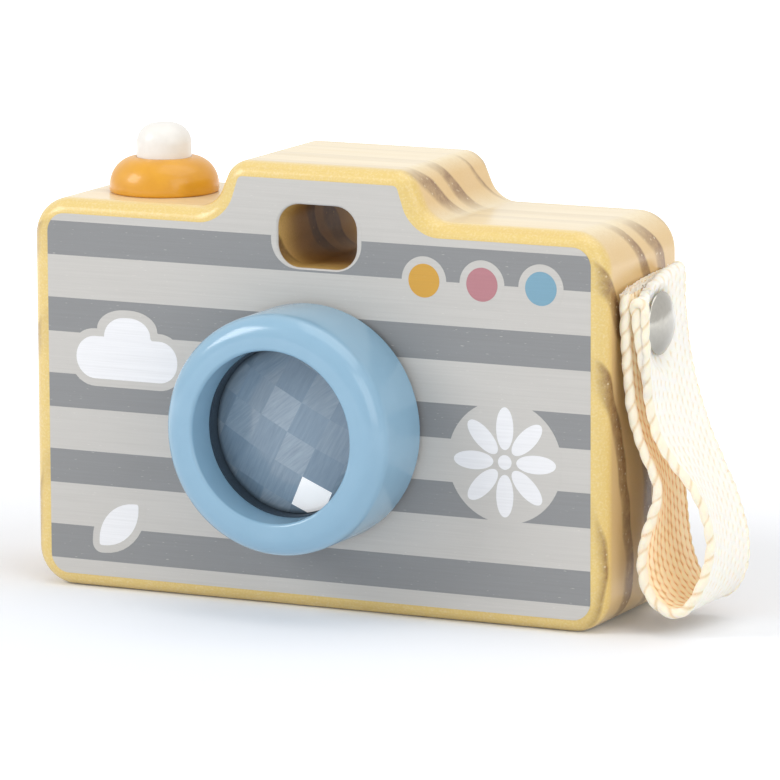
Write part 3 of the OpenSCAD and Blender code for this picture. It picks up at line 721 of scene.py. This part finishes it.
# Each top facet stores its painted tone: the glint, or a checker share and a random share.
painted_light_layer = bm.faces.layers.float.new("facet_painted_light")
chance = random.Random(11)
for face in sorted((f for f in bm.faces if f.normal.z > 0.5), key=lambda f: tuple(f.calc_center_median())):
    middle = face.calc_center_median()
    at_glint = (middle.xy - Vector(GLINT)).length < FACET_PITCH / 2
    turn_about = (math.floor(middle.x / FACET_PITCH) + math.floor(middle.y / FACET_PITCH)) % 2
    face[painted_light_layer] = (GLINT_TONE if at_glint
                        else CHECK_TONE * turn_about + CHANCE_TONE * chance.random())
to_axis = (Matrix.Translation((0, LENS_TOP_Y, LENS_Z)) @ Matrix.Rotation(math.pi / 2, 4, "X")
           @ Matrix.Rotation(FACET_TURN, 4, "Z"))
bmesh.ops.transform(bm, matrix=to_axis, verts=bm.verts)
cut_lens = to_object(bm, "cut_lens")
girdle = drill(GIRDLE_R, GIRDLE_T, (0, LENS_TOP_Y, LENS_Z), (0, 1, 0))
combine(cut_lens, [girdle], "UNION")
bpy.data.objects.remove(girdle)
for polygon in cut_lens.data.polygons:
    polygon.use_smooth = False
seat(cut_lens, "lens", [lens_clear], ["faceted_lens"])

# %% [markdown]
# ## The bearing behind the ring
# The CAD solids of the gasket, the sleeve, the bush and the snap ring already have their real
# shapes, and only slivers of them show. They stay as they are and get their materials.

# %% Carried nodes
# The gasket's dark rubber is a painted shade for the shadowed gap in front of the lens.
for name, finish in (("lens_gasket", "dark_rubber_painted_shade"), ("turning_sleeve", "moulded_blue_grey_plastic"),
                     ("lens_bush", "moulded_blue_grey_plastic"), ("snap_ring", "drawn_steel_wire")):
    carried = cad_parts[name]
    carried.data.materials.clear()
    carried.data.materials.append(fittings[finish])
    print(name, "keeps its CAD shape, in", finish)

# %% [markdown]
# ## The button, its collar and its spring
# The collar is a low dome with a tenon glued into the shoulder, and the button slides in its bore.
# Both are lathe work. The spring under the button is a circle of wire swept up a helix: the same
# spin, with a rise at each step.

# %% Collar and button
COLLAR_SECTION = [(5.83, 75.6, 0), (8.0, 75.6, 0.3), (8.0, SHOULDER_Z, 0), (11.4, SHOULDER_Z, 0.5),
                  (11.6, 88.9, 6.1), (5.83, 88.9, 0.25)]
BUTTON_SECTION = [(0, 70.25, 0), (4.45, 70.25, 0.3), (4.45, 73.15, 0), (7.65, 73.15, 0.3),
                  (7.65, 75.55, 0.3), (5.75, 75.55, 0), (5.75, 95.9, 4.2), (0, 95.9, 0)]


def button_section(radius, z):
    """Puts a half section of the button's parts in space."""
    return (BUTTON_X + radius, 0, z)


bm = turned(COLLAR_SECTION, button_section, (BUTTON_X, 0, 0), (0, 0, 1))
seat(to_object(bm, "painted_collar"), "block", [paints["collar_satin_orange"]],
     ["button_collar"])
bm = turned(BUTTON_SECTION, button_section, (BUTTON_X, 0, 0), (0, 0, 1))
seat(to_object(bm, "painted_button"), "button", [paints["button_satin_white"]],
     ["shutter_button"])

# %% Spring
SPRING_R, WIRE_R, SPRING_FOOT, SPRING_TOP = 5.3, 0.45, WELL_FOOT, 73.15
SPRING_TURNS, STEPS_A_TURN, PRESS, WIRE_GAP = 6, 24, 3.0, 0.05

bm = bmesh.new()
foot = (Matrix.Translation((BUTTON_X + SPRING_R, 0, SPRING_FOOT + WIRE_R + WIRE_GAP))
        @ Matrix.Rotation(math.pi / 2, 4, "X"))
bmesh.ops.create_circle(bm, segments=10, radius=WIRE_R, matrix=foot)
rise = SPRING_TOP - SPRING_FOOT - 2 * (WIRE_R + WIRE_GAP)
steps = SPRING_TURNS * STEPS_A_TURN
bmesh.ops.spin(bm, geom=bm.verts[:] + bm.edges[:], cent=(BUTTON_X, 0, 0), axis=(0, 0, 1),
               dvec=(0, 0, rise / steps), angle=2 * math.pi * SPRING_TURNS, steps=steps)
close_holes(bm)
spring = seat(to_object(bm, "coil_spring"), "block", [fittings["drawn_steel_wire"]],
              ["button_spring"])
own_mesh(spring)

# %% [markdown]
# ## The tack
# An upholstery tack holds the strap: a low dome pressed from sheet, plated with nickel, with a
# pointed shank. Its half section has a curved top, which the rounded corner of the face gives.

# %% Tack
HEAD_X, HEAD_R, HEAD_RISE, SHANK_R, POINT_X = 70.0, 6.5, 2.4, 1.5, 52.0
TACK_SECTION = [(0, POINT_X, 0), (SHANK_R, POINT_X + 3.2, 0), (SHANK_R, HEAD_X + 0.4, 0),
                (HEAD_R - 0.6, HEAD_X + 0.3, 0), (HEAD_R, HEAD_X, 0.15), (HEAD_R - 0.1, HEAD_X + 0.5, 0.3),
                (HEAD_R * 0.72, HEAD_X + HEAD_RISE * 0.68, 6), (HEAD_R * 0.3, HEAD_X + HEAD_RISE, 8),
                (0, HEAD_X + HEAD_RISE, 0)]

bm = turned(TACK_SECTION, lambda radius, x: (x, TACK_Y, TACK_Z + radius), (0, TACK_Y, TACK_Z), (1, 0, 0))
seat(to_object(bm, "nickel_tack"), "block", [fittings["satin_nickel_plate"]], ["strap_tack"])

# %% [markdown]
# ## The strap's way
# The strap is one length of webbing, folded into a loop. From its cut end under the tack it runs
# down along the wood, swings out into the loop, comes back up outside, folds over at the top and
# ends tucked between the two. A hand has twisted the loop a little, so its front edge has a
# narrower waist and stands further out than its back edge. Each edge has its own points, a smooth
# curve runs through them, and both are walked at an even pace, so that the yarns are of one length.

# %% Ways of the two edges
STRAP_W, STRAP_FRONT = 25.0, -14.6
CUT_FRONT_Z, CUT_BACK_Z, TUCK_Z, TUCK_LEAN = 69.0, 70.8, 47.0, 3.1
FRONT_EDGE = [(66.9, CUT_FRONT_Z), (67.1, 61.9), (67.6, 53.9), (68.7, 45.3), (70.9, 38.4), (73.0, 34.3),
              (74.5, 30.2),
              (74.2, 27.2), (73.2, 24.2), (71.5, 19.4), (70.8, 15.0), (71.5, 10.3), (73.6, 7.0), (75.8, 5.4),
              (78.6, 5.0), (81.4, 7.0), (84.2, 12.0), (85.9, 17.9), (85.7, 21.9), (84.2, 27.0), (81.4, 31.6),
              (78.3, 34.9), (74.2, 41.0), (72.1, 50.0), (71.7, 61.9), (71.5, 66.4)]
BACK_EDGE = [(65.9, CUT_BACK_Z), (65.9, 61.9), (66.2, 53.5), (66.9, 46.0), (67.8, 39.5), (68.5, 34.0),
             (69.1, 28.5),
             (69.5, 24.5), (69.9, 20.5), (70.4, 16.5), (71.2, 12.8), (72.5, 9.6), (74.2, 7.2), (76.3, 5.5),
             (78.6, 5.1), (80.9, 6.5), (82.6, 9.6), (83.4, 14.0), (83.0, 18.6), (81.7, 23.2), (79.9, 27.8),
             (77.7, 32.4), (74.3, 40.2), (71.0, 51.0), (69.4, 61.9), (69.1, 70.7)]
SPAN_STEPS, FOLD_STEPS = 12, 16


def smooth_way(points):
    """A curve through the points of an edge, with the fold and the tucked end after it."""
    controls = [Vector(p) for p in points]
    line = []
    for i in range(len(controls) - 1):
        p, q, r, s = (controls[min(max(k, 0), len(controls) - 1)] for k in (i - 1, i, i + 1, i + 2))
        for k in range(SPAN_STEPS):
            t = k / SPAN_STEPS
            line.append((2 * q + (r - p) * t + (2 * p - 5 * q + 4 * r - s) * t ** 2
                         + (3 * q - p - 3 * r + s) * t ** 3) / 2)
    fold_r = (points[-1][0] - points[0][0]) / 4
    for k in range(FOLD_STEPS + 1):
        turn = math.pi * k / FOLD_STEPS
        line.append(controls[-1] + Vector((math.cos(turn) - 1, math.sin(turn))) * fold_r)
    line.append(Vector((line[-1].x + TUCK_LEAN, TUCK_Z)))
    return line


def walked(line, share):
    """The point at a share of a way's length, and the direction there."""
    reached = [0.0]
    for start, end in zip(line, line[1:]):
        reached.append(reached[-1] + (end - start).length)
    goal = share * reached[-1]
    k = min(sum(r <= goal for r in reached) - 1, len(line) - 2)
    rest = (goal - reached[k]) / (reached[k + 1] - reached[k])
    ahead, behind = line[min(k + 2, len(line) - 1)], line[max(k - 1, 0)]
    return line[k].lerp(line[k + 1], rest), (ahead - behind).normalized(), reached[-1]


front_way, back_way = smooth_way(FRONT_EDGE), smooth_way(BACK_EDGE)
STRAP_LENGTH = (walked(front_way, 0)[2] + walked(back_way, 0)[2]) / 2
print("edge lengths", [round(walked(w, 0)[2], 1) for w in (front_way, back_way)], "mm")

# %% [markdown]
# ## The woven strap
# Webbing is too small and too tightly curled for a cloth simulation, so it is modelled directly.
# A flat grid is wrapped into a thin band between the two ways, and its points are then lifted
# where a yarn comes to the surface. A float is a small leaning dome, bent like a crescent, and each
# column of floats is half a float out of step with the next. A twisted cord runs along each edge,
# slower in front, where a narrow loom knits it. Under the tack's head the outer layer and the tail
# are pressed in, and the tail thins towards its end, which lies hidden behind that layer.

# %% Woven band
COLUMNS, FLOAT_LENGTH, FLOAT_LIFT = 11, 2.4, 0.46
FLOAT_HALF, FLOAT_SIDE, FLOAT_LEAN, FLOAT_BEND = 0.8, 0.62, 0.25, 0.4
LOOP_FRONT, LOOP_BACK = 3.9, 2.3
HALF_T, BEAD_R, OFF_WOOD = 0.5, 0.85, 65.05
ALONG_STEPS, SIDE_STEPS, BEAD_STEPS = 480, 88, 10
TWIST_POWER, CORD_LOW, CORD_POWER, CORD_SLANT, FLOAT_SHIFT = 2.2, 0.35, 0.7, 0.7, 1.2
INNER_DEPTH, OTHER_DEPTH, CORD_SHADE = 1.4, 0.95, 0.5
WANDER = [(0.14, 0.9, 0), (0.1, 2.3, 1)]
UNDER_HEAD, DIMPLE_SLOPE, DIMPLE_POWER = 0.1, 0.4, 1.3
TAIL_TAPER, TAIL_THIN, TAIL_NARROW = 9.0, 0.6, 0.04

flat_half = STRAP_W / 2 - BEAD_R
section = []
for side in (1, -1):
    for k in range(SIDE_STEPS):
        section.append((side * flat_half * (2 * k / SIDE_STEPS - 1), side * HALF_T, 0.0, side, None))
    for k in range(BEAD_STEPS):
        turn = math.pi / 2 - math.pi * k / BEAD_STEPS
        section.append((side * (flat_half + BEAD_R * math.cos(turn)), side * BEAD_R * math.sin(turn),
                        side * math.cos(turn), side * math.sin(turn), turn))
stations = [(walked(front_way, i / ALONG_STEPS), walked(back_way, i / ALONG_STEPS))
            for i in range(ALONG_STEPS + 1)]


def strap_point(station, wide):
    """The middle of the band at a station and a place across it, and the direction along it."""
    (front, front_along, _), (rear, rear_along, _) = station
    twist = max(0.5 - wide / STRAP_W, 0.0) ** TWIST_POWER
    return rear.lerp(front, min(twist, 1)), rear_along.lerp(front_along, min(twist, 1)).normalized()


bm = bmesh.new()
bmesh.ops.create_grid(bm, x_segments=ALONG_STEPS, y_segments=len(section), size=0.5)
depth_layer = bm.verts.layers.float.new("weave_depth")
inner_layer = bm.verts.layers.float.new("inner_face")
uneven = random.Random(5)
FLOATS = int(STRAP_LENGTH / LOOP_BACK) + 5
thickness = [[uneven.uniform(0.85, 1.1) for _ in range(FLOATS)] for _ in range(2 * COLUMNS + 2)]


def float_rise(column, step, plies):
    """The height of the highest float over a place, counted in columns across and floats along."""
    best = 0.0
    for c in range(max(math.floor(column) - 1, 0), min(math.floor(column) + 2, COLUMNS)):
        along_it = step + 0.5 * (c % 2)
        for k in range(math.floor(along_it) - 1, math.floor(along_it) + 2):
            u = along_it - k - 0.5
            v = column - c - 0.5 - FLOAT_LEAN * u - FLOAT_BEND * u * u
            height = 1 - (u / FLOAT_HALF) ** 2 - (v / FLOAT_SIDE) ** 2
            if height > 0:
                best = max(best, math.sqrt(height) * plies[c][k])
    return best


for vert in bm.verts:
    i = round((vert.co.x + 0.5) * ALONG_STEPS)
    wide, thick, lift_wide, lift_thick, turn = section[round((vert.co.y + 0.5) * len(section)) % len(section)]
    distance = STRAP_LENGTH * i / ALONG_STEPS
    if turn is None:
        column = (wide + flat_half) / (2 * flat_half) * COLUMNS
        plies = thickness[COLUMNS:] if lift_thick < 0 else thickness[:COLUMNS]
        rise = float_rise(column, distance / FLOAT_LENGTH + FLOAT_SHIFT, plies)
    else:
        step = distance / (LOOP_FRONT if lift_wide < 0 else LOOP_BACK) + CORD_SLANT * turn / math.pi + 1
        rise = CORD_LOW + (1 - CORD_LOW) * abs(math.sin(math.pi * step)) ** CORD_POWER
        rise *= thickness[-1 if lift_wide < 0 else -2][math.floor(step)]
    # The depth and the face stored here drive the painted shade between the yarns, on the inner face and on
    # the cords.
    vert[depth_layer] = (1 - rise) * (INNER_DEPTH if lift_thick < 0 and turn is None else OTHER_DEPTH)
    vert[inner_layer] = float(lift_thick < 0) if turn is None else CORD_SHADE
    lift = FLOAT_LIFT * (rise - CORD_LOW)
    frayed = sum(size * math.sin(distance * pace + start) for size, pace, start in WANDER)
    wide, thick = wide + lift_wide * (lift + frayed), thick + lift_thick * lift
    tail = max(1 - (STRAP_LENGTH - distance) / TAIL_TAPER, 0)
    wide, thick = wide * (1 - TAIL_NARROW * tail), thick * (1 - TAIL_THIN * tail)
    point, along = strap_point(stations[i], wide)
    across_y = STRAP_FRONT + STRAP_W / 2 + wide
    outer_run = along.y > 0.5
    if outer_run or along.y < -0.5 and i > ALONG_STEPS / 2:
        from_tack = math.hypot(across_y - TACK_Y, point.y - TACK_Z)
        limit = HEAD_X - UNDER_HEAD + DIMPLE_SLOPE * max(from_tack - HEAD_R, 0) ** DIMPLE_POWER
        point = Vector((min(point.x, limit - (1 if outer_run else 3) * HALF_T - FLOAT_LIFT), point.y))
    vert.co = (max(point.x + along.y * thick, OFF_WOOD), across_y, point.y - along.x * thick)
bmesh.ops.remove_doubles(bm, verts=bm.verts, dist=1e-4)
close_holes(bm)
band = seat(to_object(bm, "webbing_strap"), "strap", [webbing], ["strap"])

# %% [markdown]
# A cut end of cotton frays, and worn edges grow a fuzz of broken hairs. Both are short tapered
# sticks with three sides, few enough in faces to be repeated by the hundred, and drawn from a
# seeded random source so that every run gives the same strap.

# %% Frayed end and fuzz
FRAY_COUNT, FRAY_LENGTH, FRAY_R = 420, (0.6, 1.7), (0.1, 0.2)
FUZZ_COUNT, FUZZ_LENGTH, FUZZ_R, FUZZ_SPAN = 480, (0.4, 1.3), (0.03, 0.06), slice(20, -70)
draw = random.Random(7)


def hair(bm, root, direction, length, radius):
    """One tapered hair from its root."""
    aim = direction.to_track_quat("Z", "Y").to_matrix().to_4x4()
    bmesh.ops.create_cone(bm, cap_ends=True, segments=3, radius1=radius, radius2=radius * 0.35, depth=length,
                          matrix=Matrix.Translation(root + direction * length / 2) @ aim)


bm = bmesh.new()
bm.verts.layers.float.new("weave_depth")
for _ in range(FRAY_COUNT):
    share = draw.random()
    root = Vector((FRONT_EDGE[0][0] + draw.uniform(-0.4, 0.5), STRAP_FRONT + 0.2 + share * (STRAP_W - 0.4),
                   CUT_FRONT_Z + share * (CUT_BACK_Z - CUT_FRONT_Z) - 0.4))
    aim = Vector((draw.uniform(-0.2, 0.9), draw.uniform(-1.0, 1.0), 1)).normalized()
    hair(bm, root, aim, draw.uniform(*FRAY_LENGTH), draw.uniform(*FRAY_R))
fray = seat(to_object(bm, "frayed_end"), "strap", [webbing])

bm = bmesh.new()
bm.verts.layers.float.new("weave_depth")
for _ in range(FUZZ_COUNT):
    side = draw.choice((-1, 1))
    point, _ = strap_point(draw.choice(stations[FUZZ_SPAN]), side * STRAP_W / 2)
    root = Vector((point.x, STRAP_FRONT + STRAP_W / 2 + side * (STRAP_W / 2 - 0.1), point.y))
    aim = Vector((draw.uniform(-0.7, 0.7), side * 0.6, draw.uniform(-0.7, 0.7))).normalized()
    hair(bm, root, aim, draw.uniform(*FUZZ_LENGTH), draw.uniform(*FUZZ_R))
edge_fuzz = seat(to_object(bm, "edge_fuzz"), "strap", [webbing])

# %% [markdown]
# ## Floor and light
# The picture is a plain studio shot: a white floor that runs out of sight, and large soft lamps to
# the upper left, overhead and to the right. The world is white to the eye and in reflections, and
# dimmer as a source of light, so the object keeps its modelling.

# %% Floor
FLOOR_SIZE = 4000


def seen_directly(add):
    """One for rays that show a thing to the eye, straight, mirrored or through glass, else nought."""
    rays = add("LightPath")
    seen = add("Math", {
        0: rays.outputs["Is Camera Ray"], 1: rays.outputs["Is Glossy Ray"]}, operation="MAXIMUM")
    return add("Math", {0: seen, 1: rays.outputs["Is Transmission Ray"]}, operation="MAXIMUM")


floor_white, add, shader, place = start_finish("studio_floor", {"Roughness": 0.9, "IOR": 1.3})
unevenness = add("TexNoise", {"Vector": place, "Scale": 3.0})
floor_tone = add("Mix", {0: unevenness, MIX_A: "#F4F6FA", MIX_B: "#F2F4F8"})
link(floor_tone, shader.inputs["Base Color"])
away = add("VectorMath", {0: place}, operation="LENGTH")
fade = add("MapRange", {"Value": away, "From Min": 0.1, "From Max": 0.6, "To Min": 0.04, "To Max": 0.8})
glow = add("Math", {0: seen_directly(add), 1: fade}, operation="MULTIPLY")
shader.inputs["Emission Color"].default_value = linear("#FFFFFF")
link(glow, shader.inputs["Emission Strength"])
bm = bmesh.new()
bmesh.ops.create_grid(bm, x_segments=1, y_segments=1, size=FLOOR_SIZE)
floor = to_object(bm, "studio_floor")
floor.data.materials.append(floor_white)

# %% World and lamps
WORLD_LIGHT = 0.58
LAMPS = [("key_upper_left", (-0.93, -0.76, 0.74), 0.6, 7.0),
         ("soft_overhead", (0.31, 0.05, 1.09), 1.0, 4.2),
         ("fill_right", (1.0, -0.55, 0.5), 0.8, 3.4)]

world = bpy.data.worlds.new("studio")
world.use_nodes = True
scene.world = world
add = partial(add_node, world.node_tree)
background = world.node_tree.nodes["Background"]
background.inputs["Color"].default_value = linear("#FFFFFF")
strength = add("MapRange", {"Value": seen_directly(add), "To Min": WORLD_LIGHT})
link(strength, background.inputs["Strength"])

for name, spot_at, size, power in LAMPS:
    lamp = bpy.data.lights.new(name, "AREA")
    lamp.shape, lamp.size, lamp.energy = "SQUARE", size, power
    holder = bpy.data.objects.new(name, lamp)
    scene.collection.objects.link(holder)
    aim = VIEW_TARGET - Vector(spot_at)
    holder.matrix_world = Matrix.Translation(spot_at) @ aim.to_track_quat("-Z", "Y").to_matrix().to_4x4()
    print(name, "at", round(aim.length, 2), "m")
